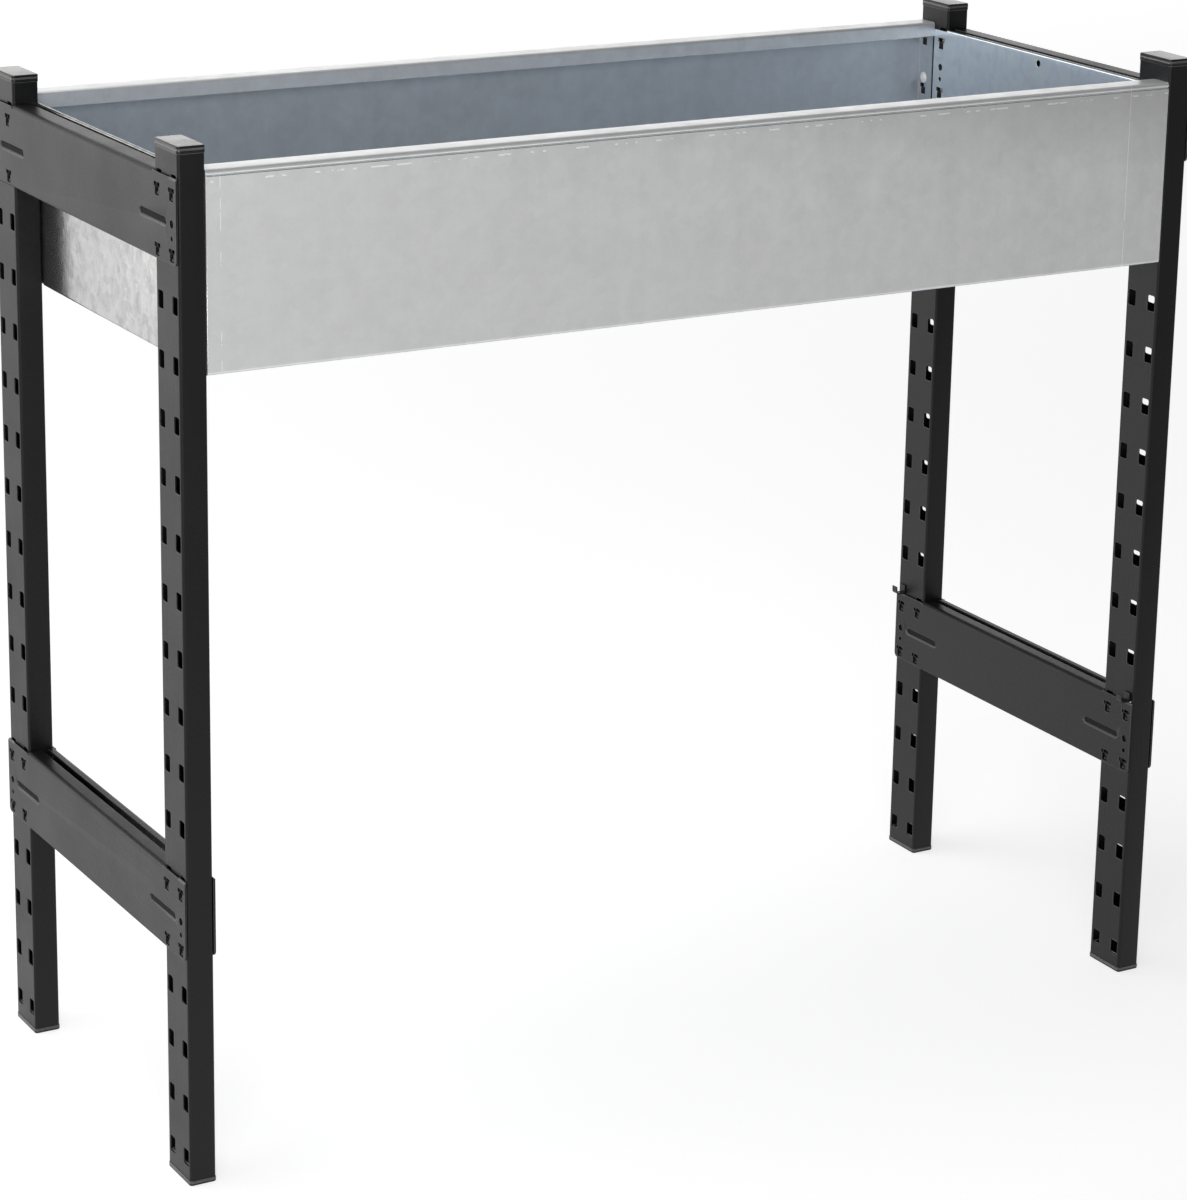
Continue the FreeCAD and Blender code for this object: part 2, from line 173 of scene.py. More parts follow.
wall_light = shader_node(air, "ShaderNodeMath", (-300, 0), operation="MULTIPLY")
air.links.new(way.outputs["Generated"], way_parts.inputs["Vector"])
air.links.new(way.outputs["Generated"], way_around.inputs[0])
air.links.new(way_around.outputs["Value"], wall.inputs["Value"])
air.links.new(way_parts.outputs["Z"], wall_top.inputs["Value"])
air.links.new(wall.outputs["Result"], wall_light.inputs[0])
air.links.new(wall_top.outputs["Result"], wall_light.inputs[1])
air.links.new(wall_light.outputs["Value"], air.nodes["Background"].inputs["Strength"])
air.nodes["Background"].inputs["Color"].default_value = (1.0, 1.0, 1.0, 1.0)
bpy.context.scene.world = room
bpy.context.scene.view_settings.view_transform = "Standard"

# Camera ---------------------------------------------------------------------------------------
# It stands off the front left corner, above the rim, and looks down along the trough.

CAMERA_PLACE = (-1.7017, -2.9366, 1.4875)
CAMERA_TURN = math.radians(30.01)
CAMERA_DIP = math.radians(15.64)
CAMERA_ROLL = math.radians(0.996)
CAMERA_LENS = 113.9
CAMERA_RISE = -0.12

camera_data = bpy.data.cameras.new("camera")
camera_data.lens = CAMERA_LENS
camera_data.sensor_width = 36.0
camera_data.shift_y = CAMERA_RISE
camera_data.clip_end = 200.0
camera = bpy.data.objects.new("camera", camera_data)
camera.location = CAMERA_PLACE
camera.rotation_mode = "QUATERNION"
looking = Vector((
    math.sin(CAMERA_TURN) * math.cos(CAMERA_DIP),
    math.cos(CAMERA_TURN) * math.cos(CAMERA_DIP),
    -math.sin(CAMERA_DIP),
))
camera.rotation_quaternion = looking.to_track_quat("-Z", "Y") @ Quaternion((0, 0, 1), CAMERA_ROLL)
bpy.context.scene.collection.objects.link(camera)
bpy.context.scene.camera = camera

# Posts ----------------------------------------------------------------------------------------
# Four uprights of pierced rectangular tube, roll formed from steel strip and powder coated satin
# black. The coat rounds every edge a little, also around the slots.

MILLIMETRE = 0.001
COAT_EDGE = 0.45 * MILLIMETRE
EDGE_SEGMENTS = 2
SAME_POINT = 0.002 * MILLIMETRE
FLAT_WITHIN = math.radians(0.5)
FOLD_ANGLE = math.radians(32)
CORNERS = ("front_left", "back_left", "front_right", "back_right")


def surface_group(name, inputs, outputs):
    """Shader node group with named sockets, each (name, kind, default)."""
    group = bpy.data.node_groups.new(name, "ShaderNodeTree")
    for label, kind, default in inputs:
        socket = group.interface.new_socket(label, in_out="INPUT", socket_type=kind)
        socket.default_value = default
    for label, kind in outputs:
        group.interface.new_socket(label, in_out="OUTPUT", socket_type=kind)
    start = shader_node(group, "NodeGroupInput", (-1000, 0))
    end = shader_node(group, "NodeGroupOutput", (800, 0))
    return group, start, end


def placed_group(tree, group, at, **values):
    """Puts a group into a material, with its own values."""
    made = tree.nodes.new("ShaderNodeGroup")
    made.node_tree = group
    made.location = at
    for name, value in values.items():
        made.inputs[name.replace("_", " ")].default_value = value
    return made


SPECK_SHARE = 0.35

# Fine even grain of a coated or moulded surface, with soft patches in its gloss.
grain, start, end = surface_group(
    "grain",
    [("Grain Scale", "NodeSocketFloat", 900.0), ("Patch Scale", "NodeSocketFloat", 9.0),
     ("Gloss", "NodeSocketFloat", 0.4), ("Gloss Spread", "NodeSocketFloat", 0.08)],
    [("Height", "NodeSocketFloat"), ("Roughness", "NodeSocketFloat"),
     ("Patches", "NodeSocketFloat")],
)
where = shader_node(grain, "ShaderNodeTexCoord", (-1000, 300))
peel = shader_node(grain, "ShaderNodeTexNoise", (-700, 300), Detail=3.0, Roughness=0.6)
speck = shader_node(grain, "ShaderNodeTexVoronoi", (-700, 0))
patches = shader_node(grain, "ShaderNodeTexNoise", (-700, -300), Detail=4.0, Roughness=0.55)
height = shader_node(grain, "ShaderNodeMath", (-400, 200), operation="MULTIPLY_ADD")
height.inputs[1].default_value = SPECK_SHARE
gloss_shift = shader_node(
    grain, "ShaderNodeMapRange", (-400, -300), From_Min=0.3, From_Max=0.7, To_Min=-1.0,
)
gloss = shader_node(grain, "ShaderNodeMath", (-150, -200), operation="MULTIPLY_ADD")
for texture, scale in ((peel, "Grain Scale"), (speck, "Grain Scale"), (patches, "Patch Scale")):
    grain.links.new(where.outputs["Object"], texture.inputs["Vector"])
    grain.links.new(start.outputs[scale], texture.inputs["Scale"])
grain.links.new(speck.outputs["Distance"], height.inputs[0])
grain.links.new(peel.outputs["Fac"], height.inputs[2])
grain.links.new(patches.outputs["Fac"], gloss_shift.inputs["Value"])
grain.links.new(gloss_shift.outputs["Result"], gloss.inputs[0])
grain.links.new(start.outputs["Gloss Spread"], gloss.inputs[1])
grain.links.new(start.outputs["Gloss"], gloss.inputs[2])
grain.links.new(height.outputs["Value"], end.inputs["Height"])
grain.links.new(gloss.outputs["Value"], end.inputs["Roughness"])
grain.links.new(patches.outputs["Fac"], end.inputs["Patches"])

# Faint lines left along the strip by the rolls or the press.
draw_lines, start, end = surface_group(
    "draw_lines",
    [("Direction Scale", "NodeSocketVector", (220.0, 220.0, 3.0))],
    [("Lines", "NodeSocketFloat")],
)
where = shader_node(draw_lines, "ShaderNodeTexCoord", (-1000, 300))
stretch = shader_node(draw_lines, "ShaderNodeVectorMath", (-700, 0), operation="MULTIPLY")
lines = shader_node(
    draw_lines, "ShaderNodeTexNoise", (-450, 0), Scale=1.0, Detail=3.0, Roughness=0.5,
)
draw_lines.links.new(where.outputs["Object"], stretch.inputs[0])
draw_lines.links.new(start.outputs["Direction Scale"], stretch.inputs[1])
draw_lines.links.new(stretch.outputs["Vector"], lines.inputs["Vector"])
draw_lines.links.new(lines.outputs["Fac"], end.inputs["Lines"])


COAT_DARKER = 0.75
COAT_LIGHTER = 1.35
LINE_SHARE = 0.5


def powder_coat(name, tone, gloss, lines_along):
    """Satin black powder coat: fine orange peel, patches in the gloss and faint rolling lines."""
    finish, tree, shader = new_finish(name, Specular_IOR_Level=0.25)
    surface = placed_group(
        tree, grain, (-500, 0), Grain_Scale=700.0, Patch_Scale=11.0, Gloss=gloss, Gloss_Spread=0.05,
    )
    rolled = placed_group(tree, draw_lines, (-500, -250), Direction_Scale=lines_along)
    colour = shader_node(tree, "ShaderNodeMapRange", (-200, 250), data_type="FLOAT_VECTOR")
    colour.inputs[9].default_value = (tone * COAT_DARKER, tone * COAT_DARKER, tone * 0.77)
    colour.inputs[10].default_value = (tone * COAT_LIGHTER, tone * COAT_LIGHTER, tone * 1.4)
    relief = shader_node(tree, "ShaderNodeMath", (-200, -100), operation="MULTIPLY_ADD")
    relief.inputs[1].default_value = LINE_SHARE
    bump = shader_node(tree, "ShaderNodeBump", (200, -200), Strength=0.38, Distance=0.0005)
    tree.links.new(surface.outputs["Patches"], colour.inputs[6])
    tree.links.new(colour.outputs[1], shader.inputs["Base Color"])
    tree.links.new(surface.outputs["Roughness"], shader.inputs["Roughness"])
    tree.links.new(rolled.outputs["Lines"], relief.inputs[0])
    tree.links.new(surface.outputs["Height"], relief.inputs[2])
    tree.links.new(relief.outputs["Value"], bump.inputs["Height"])
    tree.links.new(bump.outputs["Normal"], shader.inputs["Normal"])
    return finish


def merged_form(node_name):
    """Merged mesh of a frame node, with its flat faces joined, ready to be worked on."""
    form = bmesh.new()
    form.from_mesh(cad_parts[node_name].data)
    bmesh.ops.remove_doubles(form, verts=form.verts, dist=SAME_POINT)
    bmesh.ops.dissolve_limit(form, angle_limit=FLAT_WITHIN, verts=form.verts, edges=form.edges)
    return form


def finished_piece(form, name, node_name, coats, edge):
    """Piece that stands for a frame node. Its sharp edges are rounded, and get the last coat, a
    lighter one that paints a highlight along them.
    """
    for face in form.faces:
        face.smooth = True
    mesh = bpy.data.meshes.new(name)
    form.to_mesh(mesh)
    form.free()
    for coat in coats:
        mesh.materials.append(coat)
    mesh.set_sharp_from_angle(angle=FOLD_ANGLE)
    piece = bpy.data.objects.new(name, mesh)
    bpy.context.scene.collection.objects.link(piece)
    bevel = piece.modifiers.new("rounded_edge", "BEVEL")
    bevel.limit_method = "ANGLE"
    bevel.angle_limit = FOLD_ANGLE
    bevel.width = edge
    bevel.segments = EDGE_SEGMENTS
    bevel.use_clamp_overlap = False
    bevel.harden_normals = True
    bevel.material = len(coats) - 1

    # Where edges lie very close together the rounding overshoots, so it is kept in the node's box.
    bpy.context.view_layer.update()
    worked_out = bpy.context.evaluated_depsgraph_get()
    rounded = bpy.data.meshes.new_from_object(piece.evaluated_get(worked_out))
    rounded.name = name
    low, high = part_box(node_name)
    for vert in rounded.vertices:
        vert.co = [min(max(at, least), most) for at, least, most in zip(vert.co, low, high)]
    piece.modifiers.clear()
    piece.data = rounded
    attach(piece, "frame")
    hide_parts(node_name)


post_coat = powder_coat("post_powder_coat", 0.004, 0.38, (240.0, 240.0, 4.0))
# The rounded edges get a lighter copy of the black coat as a painted highlight.
edge_highlight_coat = powder_coat("painted_edge_highlight_coat", 0.06, 0.30, (240.0, 240.0, 240.0))

for corner in CORNERS:
    node_name = "upright_" + corner
    form = merged_form(node_name)
    finished_piece(
        form, "post_" + corner, node_name, (post_coat, edge_highlight_coat), COAT_EDGE,
    )

# Caps and feet --------------------------------------------------------------------------------
# Black moulded plastic lids pushed into both ends of each post. They are smoother than the
# powder coat, so their edges shine, and the edges also get a lighter coat as a painted highlight.
# Faces that look up get a pale, blotchy painted sheen.

CAP_EDGE = 0.35 * MILLIMETRE
CAP_PLATE = 3.0 * MILLIMETRE
SEAM_WIDTH = 1.0 * MILLIMETRE
SEAM_DEPTH = 0.4 * MILLIMETRE
ON_THE_SEAM = 0.1 * MILLIMETRE
# Tone of the painted sheen on faces that look up.
TOP_SHEEN_TONE = (0.62, 0.62, 0.60, 1.0)

# Painted sheen: a pale, blotchy tone on faces that look up.
painted_top_sheen, start, end = surface_group(
    "painted_top_sheen",
    [("Colour", "NodeSocketColor", (0.01, 0.01, 0.01, 1.0)),
     ("Amount", "NodeSocketFloat", 0.0)],
    [("Colour", "NodeSocketColor")],
)
where = shader_node(painted_top_sheen, "ShaderNodeTexCoord", (-1000, 300))
facing = shader_node(painted_top_sheen, "ShaderNodeNewGeometry", (-1000, 0))
facing_parts = shader_node(painted_top_sheen, "ShaderNodeSeparateXYZ", (-800, 0))
level = shader_node(painted_top_sheen, "ShaderNodeMapRange", (-600, 0), From_Min=0.75, From_Max=0.98)
blotches = shader_node(
    painted_top_sheen, "ShaderNodeTexNoise", (-800, 300), Scale=160.0, Detail=4.0, Roughness=0.65,
)
blotch_share = shader_node(
    painted_top_sheen, "ShaderNodeMapRange", (-600, 300), From_Min=0.3, From_Max=0.7, To_Min=0.6,
)
facing_up_share = shader_node(painted_top_sheen, "ShaderNodeMath", (-400, 100), operation="MULTIPLY")
amount = shader_node(painted_top_sheen, "ShaderNodeMath", (-200, 100), operation="MULTIPLY")
sheen_mixed = shader_node(painted_top_sheen, "ShaderNodeMix", (100, 0), data_type="RGBA")
sheen_mixed.inputs[7].default_value = TOP_SHEEN_TONE
for source, target in (
    (facing.outputs["Normal"], facing_parts.inputs["Vector"]),
    (facing_parts.outputs["Z"], level.inputs["Value"]),
    (where.outputs["Object"], blotches.inputs["Vector"]),
    (blotches.outputs["Fac"], blotch_share.inputs["Value"]),
    (level.outputs["Result"], facing_up_share.inputs[0]),
    (blotch_share.outputs["Result"], facing_up_share.inputs[1]),
    (facing_up_share.outputs["Value"], amount.inputs[0]), (start.outputs["Amount"], amount.inputs[1]),
    (amount.outputs["Value"], sheen_mixed.inputs[0]), (start.outputs["Colour"], sheen_mixed.inputs[6]),
    (sheen_mixed.outputs[2], end.inputs["Colour"]),
):
    painted_top_sheen.links.new(source, target)


def moulded(name, dark, light, gloss, patch_scale, specular, top_sheen):
    """Moulded plastic with a fine spark-eroded grain, patches in its gloss and a pale painted sheen
    on faces that look up.
    """
    finish, tree, shader = new_finish(name, Specular_IOR_Level=specular)
    surface = placed_group(
        tree, grain, (-500, 0), Grain_Scale=1500.0, Patch_Scale=patch_scale, Gloss=gloss,
        Gloss_Spread=0.06,
    )
    colour = shader_node(tree, "ShaderNodeMapRange", (-200, 250), data_type="FLOAT_VECTOR")
    colour.inputs[9].default_value = dark
    colour.inputs[10].default_value = light
    bump = shader_node(tree, "ShaderNodeBump", (200, -200), Strength=0.10, Distance=0.0003)
    sheened = placed_group(tree, painted_top_sheen, (200, 250), Amount=top_sheen)
    tree.links.new(surface.outputs["Patches"], colour.inputs[6])
    tree.links.new(colour.outputs[1], sheened.inputs["Colour"])
    tree.links.new(sheened.outputs["Colour"], shader.inputs["Base Color"])
    tree.links.new(surface.outputs["Roughness"], shader.inputs["Roughness"])
    tree.links.new(surface.outputs["Height"], bump.inputs["Height"])
    tree.links.new(bump.outputs["Normal"], shader.inputs["Normal"])
    return finish


moulding = moulded(
    "moulded_black_plastic", (0.005, 0.005, 0.005), (0.009, 0.009, 0.0095), 0.25, 30.0, 0.3, 0.34,
)
# The rims get a lighter copy of the black plastic as a painted highlight.
moulding_edge_highlight = moulded(
    "moulded_black_painted_rim_highlight", (0.07, 0.07, 0.07), (0.12, 0.12, 0.12), 0.2, 30.0, 0.6, 0.2,
)

for corner in CORNERS:
    for kind, seam_side in (("top_cap_", 1), ("foot_cap_", -1)):
        node_name = kind + corner
        low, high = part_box(node_name)
        middle = (low + high) / 2
        reach = (high - low) / 2
        seam = high.z - CAP_PLATE if seam_side > 0 else low.z + CAP_PLATE
        form = merged_form(node_name)
        for shift in (-SEAM_WIDTH / 2, 0, SEAM_WIDTH / 2):
            cut = form.verts[:] + form.edges[:] + form.faces[:]
            bmesh.ops.bisect_plane(
                form, geom=cut, plane_co=(0, 0, seam + shift), plane_no=(0, 0, 1),
            )
        for vert in form.verts:
            aside = vert.co - middle
            on_skin = abs(aside.x) > reach.x - SEAM_DEPTH or abs(aside.y) > reach.y - SEAM_DEPTH
            if on_skin and abs(vert.co.z - seam) < ON_THE_SEAM:
                vert.co.x -= math.copysign(SEAM_DEPTH, aside.x)
                vert.co.y -= math.copysign(SEAM_DEPTH, aside.y)
        finished_piece(
            form, "moulded_" + node_name, node_name, (moulding, moulding_edge_highlight),
            CAP_EDGE,
        )

# Cross-beams ----------------------------------------------------------------------------------
# Plates pressed from steel sheet with a folded top flange, hung by lanced hooks in the slots of
# the posts. One closes each end at the top, and two stand back to back lower down.

WEB_FACES = {"upper_left": -510.3, "upper_right": 510.3}
WEB_FACES.update({"lower_outer_left": -510.3, "lower_outer_right": 510.3})
WEB_FACES.update({"lower_inner_left": -481.7, "lower_inner_right": 481.7})
BEAM_SHEET = 2.0 * MILLIMETRE
HOOK_COLUMNS = (163.45 * MILLIMETRE, 192.05 * MILLIMETRE)
HOOK_THROATS = (2.0 * MILLIMETRE, 52.0 * MILLIMETRE)
TONGUE_TIP = (0.8 * MILLIMETRE, 2.0 * MILLIMETRE, 1.7 * MILLIMETRE)
TONGUE_SEAT = 0.75 * BEAM_SHEET
DIMPLE = (0.7 * MILLIMETRE, 2.6 * MILLIMETRE, 2.6 * MILLIMETRE)
DIMPLE_SEAT = 1.0 * MILLIMETRE
DIMPLE_PLACES = (-178.0 * MILLIMETRE, 130.5 * MILLIMETRE)
RIB_HEIGHT = 34.0 * MILLIMETRE
RIB_HALF = 3.3 * MILLIMETRE
RIB_REACH = (127.0 * MILLIMETRE, 181.6 * MILLIMETRE)
RIB_SLOPE = 1.1 * MILLIMETRE
TAB_TOP = 71.5 * MILLIMETRE
TAB_FLARE_START = 187.0 * MILLIMETRE
TAB_FLARE = 1.4 * MILLIMETRE
SKIN = 0.05 * MILLIMETRE

beam_coat = powder_coat("beam_powder_coat", 0.0055, 0.36, (220.0, 5.0, 220.0))
# A darker copy of the beam coat paints the shade in the rib floors and the dimples.
groove_shade_coat = powder_coat("groove_painted_shade_coat", 0.002, 0.8, (220.0, 5.0, 220.0))
# A lighter copy of the beam coat paints a highlight on the rib slopes and the tab flares.
slope_highlight_coat = powder_coat("slope_painted_highlight_coat", 0.12, 0.30, (220.0, 5.0, 220.0))

for label, face_millimetres in WEB_FACES.items():
    node_name = "cross_beam_" + label
    web = face_millimetres * MILLIMETRE
    low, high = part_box(node_name)
    inward = 1 if (low.x + high.x) / 2 > web else -1
    form = merged_form(node_name)

    # The outer end of each tab's top edge flares, and the lower side of each pressed rib slopes.
    # Both get a lighter coat as a painted highlight.
    for end in (-1, 1):
        cut = form.verts[:] + form.edges[:] + form.faces[:]
        bmesh.ops.bisect_plane(
            form, geom=cut, plane_co=(0, end * TAB_FLARE_START, 0), plane_no=(0, 1, 0),
        )
    flared = []
    sloped = []
    for edge in form.edges:
        middle = (edge.verts[0].co + edge.verts[1].co) / 2
        if any(abs(vert.co.x - web) > SKIN for vert in edge.verts):
            continue
        rise = middle.z - low.z
        if abs(rise - TAB_TOP) < SKIN and abs(middle.y) > TAB_FLARE_START:
            flared.append(edge)
        in_rib = RIB_REACH[0] < abs(middle.y) < RIB_REACH[1] and abs(rise - RIB_HEIGHT) < RIB_HALF
        if in_rib and rise < RIB_HEIGHT + SKIN:
            sloped.append(edge)
    for edges, width in ((flared, TAB_FLARE), (sloped, RIB_SLOPE)):
        bevelled = bmesh.ops.bevel(
            form, geom=edges, offset=width, segments=1, profile=0.5, affect="EDGES", material=-1,
        )
        for face in bevelled["faces"]:
            face.material_index = 2
    # The flat floor of each rib gets the darker groove coat as painted shade.
    for face in form.faces:
        sunk = (face.calc_center_median().x - web) * inward
        flat = abs(face.normal.x) > 0.99
        place = face.calc_center_median()
        off_rib = abs(place.z - low.z - RIB_HEIGHT)
        in_rib = RIB_REACH[0] < abs(place.y) < RIB_REACH[1] and off_rib < RIB_HALF
        if flat and in_rib and SKIN < sunk < BEAM_SHEET - SKIN:
            face.material_index = 1

    # The rounded tip of each hook's tongue shows low in its opening.
    for column in HOOK_COLUMNS:
        for throat in HOOK_THROATS:
            for end in (-1, 1):
                ball = bmesh.ops.create_uvsphere(form, u_segments=16, v_segments=10, radius=1.0)
                tip = ball["verts"]
                bmesh.ops.scale(form, verts=tip, vec=TONGUE_TIP)
                seat = (web + inward * TONGUE_SEAT, end * column, low.z + throat + TONGUE_TIP[2])
                bmesh.ops.translate(form, verts=tip, vec=seat)
    # The upper beams get two dimples at rib ends, in the darker groove coat as painted shade.
    if label.startswith("upper"):
        for place in DIMPLE_PLACES:
            ball = bmesh.ops.create_uvsphere(form, u_segments=16, v_segments=10, radius=1.0)
            dimple = ball["verts"]
            bmesh.ops.scale(form, verts=dimple, vec=DIMPLE)
            seat = (web + inward * DIMPLE_SEAT, place, low.z + RIB_HEIGHT)
            bmesh.ops.translate(form, verts=dimple, vec=seat)
            for face in {face for vert in dimple for face in vert.link_faces}:
                face.material_index = 1
    coats = (beam_coat, groove_shade_coat, slope_highlight_coat, edge_highlight_coat)
    finished_piece(form, "beam_" + label, node_name, coats, COAT_EDGE)

# Trough walls ---------------------------------------------------------------------------------
# Two long panels and two end panels, folded from galvanised sheet steel and pinned to the posts.
# The zinc has a faint spangle, cloudy patches and fine lines from the rolling mill.

SHEET_EDGE = 0.3 * MILLIMETRE
SHEET_FOLD = 1.8 * MILLIMETRE
CREASE_BELOW_TOP = 4.6 * MILLIMETRE
CREASE_WIDTH = 2.0 * MILLIMETRE
CREASE_DEPTH = 1.2 * MILLIMETRE

# Zinc crystals: cells with slightly different tone and gloss, broken up by soft clouds.
spangle, start, end = surface_group(
    "spangle",
    [("Cell Scale", "NodeSocketFloat", 60.0), ("Cloud Scale", "NodeSocketFloat", 14.0)],
    [("Cells", "NodeSocketFloat"), ("Clouds", "NodeSocketFloat"), ("Fine", "NodeSocketFloat"),
     ("Height", "NodeSocketFloat")],
)
where = shader_node(spangle, "ShaderNodeTexCoord", (-1300, 300))
warp = shader_node(spangle, "ShaderNodeTexNoise", (-1100, 100), Scale=90.0, Detail=2.0)
warped = shader_node(spangle, "ShaderNodeVectorMath", (-850, 200), operation="MULTIPLY_ADD")
warped.inputs[1].default_value = (0.012, 0.012, 0.012)
cells = shader_node(
    spangle, "ShaderNodeTexVoronoi", (-600, 300), feature="SMOOTH_F1", Smoothness=0.35,
)
cell_tone = shader_node(spangle, "ShaderNodeSeparateColor", (-400, 300))
clouds = shader_node(spangle, "ShaderNodeTexNoise", (-600, 0), Detail=5.0, Roughness=0.6)
ripple = shader_node(
    spangle, "ShaderNodeTexNoise", (-600, -300), Scale=150.0, Detail=4.0, Roughness=0.55,
)
fine = shader_node(
    spangle, "ShaderNodeTexNoise", (-600, -600), Scale=420.0, Detail=4.0, Roughness=0.7,
)
spangle.links.new(where.outputs["Object"], warp.inputs["Vector"])
spangle.links.new(warp.outputs["Color"], warped.inputs[0])
spangle.links.new(where.outputs["Object"], warped.inputs[2])
spangle.links.new(warped.outputs["Vector"], cells.inputs["Vector"])
spangle.links.new(start.outputs["Cell Scale"], cells.inputs["Scale"])
spangle.links.new(cells.outputs["Color"], cell_tone.inputs["Color"])
spangle.links.new(where.outputs["Object"], clouds.inputs["Vector"])
spangle.links.new(start.outputs["Cloud Scale"], clouds.inputs["Scale"])
spangle.links.new(where.outputs["Object"], ripple.inputs["Vector"])
spangle.links.new(cell_tone.outputs["Red"], end.inputs["Cells"])
spangle.links.new(clouds.outputs["Fac"], end.inputs["Clouds"])
spangle.links.new(ripple.outputs["Fac"], end.inputs["Height"])
spangle.links.new(where.outputs["Object"], fine.inputs["Vector"])
spangle.links.new(fine.outputs["Fac"], end.inputs["Fine"])


# Mask of the side of a sheet that faces out of the trough, and of faces that look up. It picks
# which of the lit and shaded copies of the zinc tone a face gets.
outer_side, start, end = surface_group(
    "outer_side",
    [("Way Out", "NodeSocketVector", (0.0, 1.0, 0.0)), ("Distance", "NodeSocketFloat", 0.2005)],
    [("Mask", "NodeSocketFloat")],
)
where = shader_node(outer_side, "ShaderNodeTexCoord", (-1000, 300))
reach = shader_node(outer_side, "ShaderNodeVectorMath", (-700, 0), operation="DOT_PRODUCT")
either_way = shader_node(outer_side, "ShaderNodeMath", (-500, 0), operation="ABSOLUTE")
beyond = shader_node(outer_side, "ShaderNodeMath", (-300, 0), operation="GREATER_THAN")
facing = shader_node(outer_side, "ShaderNodeNewGeometry", (-1000, -300))
facing_parts = shader_node(outer_side, "ShaderNodeSeparateXYZ", (-700, -300))
on_top = shader_node(outer_side, "ShaderNodeMath", (-300, -300), operation="GREATER_THAN")
on_top.inputs[1].default_value = 0.5
seen_outside = shader_node(outer_side, "ShaderNodeMath", (0, 0), operation="MAXIMUM")
outer_side.links.new(where.outputs["Object"], reach.inputs[0])
outer_side.links.new(start.outputs["Way Out"], reach.inputs[1])
outer_side.links.new(reach.outputs["Value"], either_way.inputs[0])
outer_side.links.new(either_way.outputs["Value"], beyond.inputs[0])
outer_side.links.new(start.outputs["Distance"], beyond.inputs[1])
outer_side.links.new(facing.outputs["Normal"], facing_parts.inputs["Vector"])
outer_side.links.new(facing_parts.outputs["Z"], on_top.inputs[0])
outer_side.links.new(beyond.outputs["Value"], seen_outside.inputs[0])
outer_side.links.new(on_top.outputs["Value"], seen_outside.inputs[1])
outer_side.links.new(seen_outside.outputs["Value"], end.inputs["Mask"])


# Broken bright line painted on the zinc as a highlight. Its place is measured along one way.
painted_bright_line, start, end = surface_group(
    "painted_bright_line",
    [("Way", "NodeSocketVector", (0.0, 0.0, 1.0)), ("Place", "NodeSocketFloat", 0.0),
     ("Half Width", "NodeSocketFloat", 0.0006),
     ("Break Scale", "NodeSocketFloat", 120.0), ("Broken", "NodeSocketFloat", 0.5)],
    [("Mask", "NodeSocketFloat")],
)
where = shader_node(painted_bright_line, "ShaderNodeTexCoord", (-1000, 300))
reach = shader_node(painted_bright_line, "ShaderNodeVectorMath", (-800, 0), operation="DOT_PRODUCT")
away = shader_node(painted_bright_line, "ShaderNodeMath", (-600, 0), operation="SUBTRACT")
distance = shader_node(painted_bright_line, "ShaderNodeMath", (-450, 0), operation="ABSOLUTE")
near = shader_node(painted_bright_line, "ShaderNodeMath", (-300, 0), operation="LESS_THAN")
pieces = shader_node(painted_bright_line, "ShaderNodeTexNoise", (-600, -300), Detail=2.0)
unbroken = shader_node(painted_bright_line, "ShaderNodeMath", (-300, -300), operation="GREATER_THAN")
line_mask = shader_node(painted_bright_line, "ShaderNodeMath", (0, 0), operation="MULTIPLY")
for source, target in (
    (where.outputs["Object"], reach.inputs[0]),
    (start.outputs["Way"], reach.inputs[1]),
    (reach.outputs["Value"], away.inputs[0]),
    (start.outputs["Place"], away.inputs[1]),
    (away.outputs["Value"], distance.inputs[0]),
    (distance.outputs["Value"], near.inputs[0]),
    (start.outputs["Half Width"], near.inputs[1]),
    (where.outputs["Object"], pieces.inputs["Vector"]),
    (start.outputs["Break Scale"], pieces.inputs["Scale"]),
    (pieces.outputs["Fac"], unbroken.inputs[0]),
    (start.outputs["Broken"], unbroken.inputs[1]),
    (near.outputs["Value"], line_mask.inputs[0]),
    (unbroken.outputs["Value"], line_mask.inputs[1]),
    (line_mask.outputs["Value"], end.inputs["Mask"]),
):
    painted_bright_line.links.new(source, target)


# The lip's tone is a lit copy of the zinc, painted brighter than the shaded inner side.
LIP_LIT_ZINC = (0.69, 0.72, 0.76)
LIP_INSIDE = 178.5 * MILLIMETRE
PAINTED_LINE_ZINC = (0.97, 0.97, 0.97, 1.0)
INNER_SPREAD = 0.10
FINE_SHARE = 0.4
STREAK_SHARE = 0.45
STREAK_RELIEF = 0.3
PATTERN_LOW = 0.6
PATTERN_HIGH = 1.3


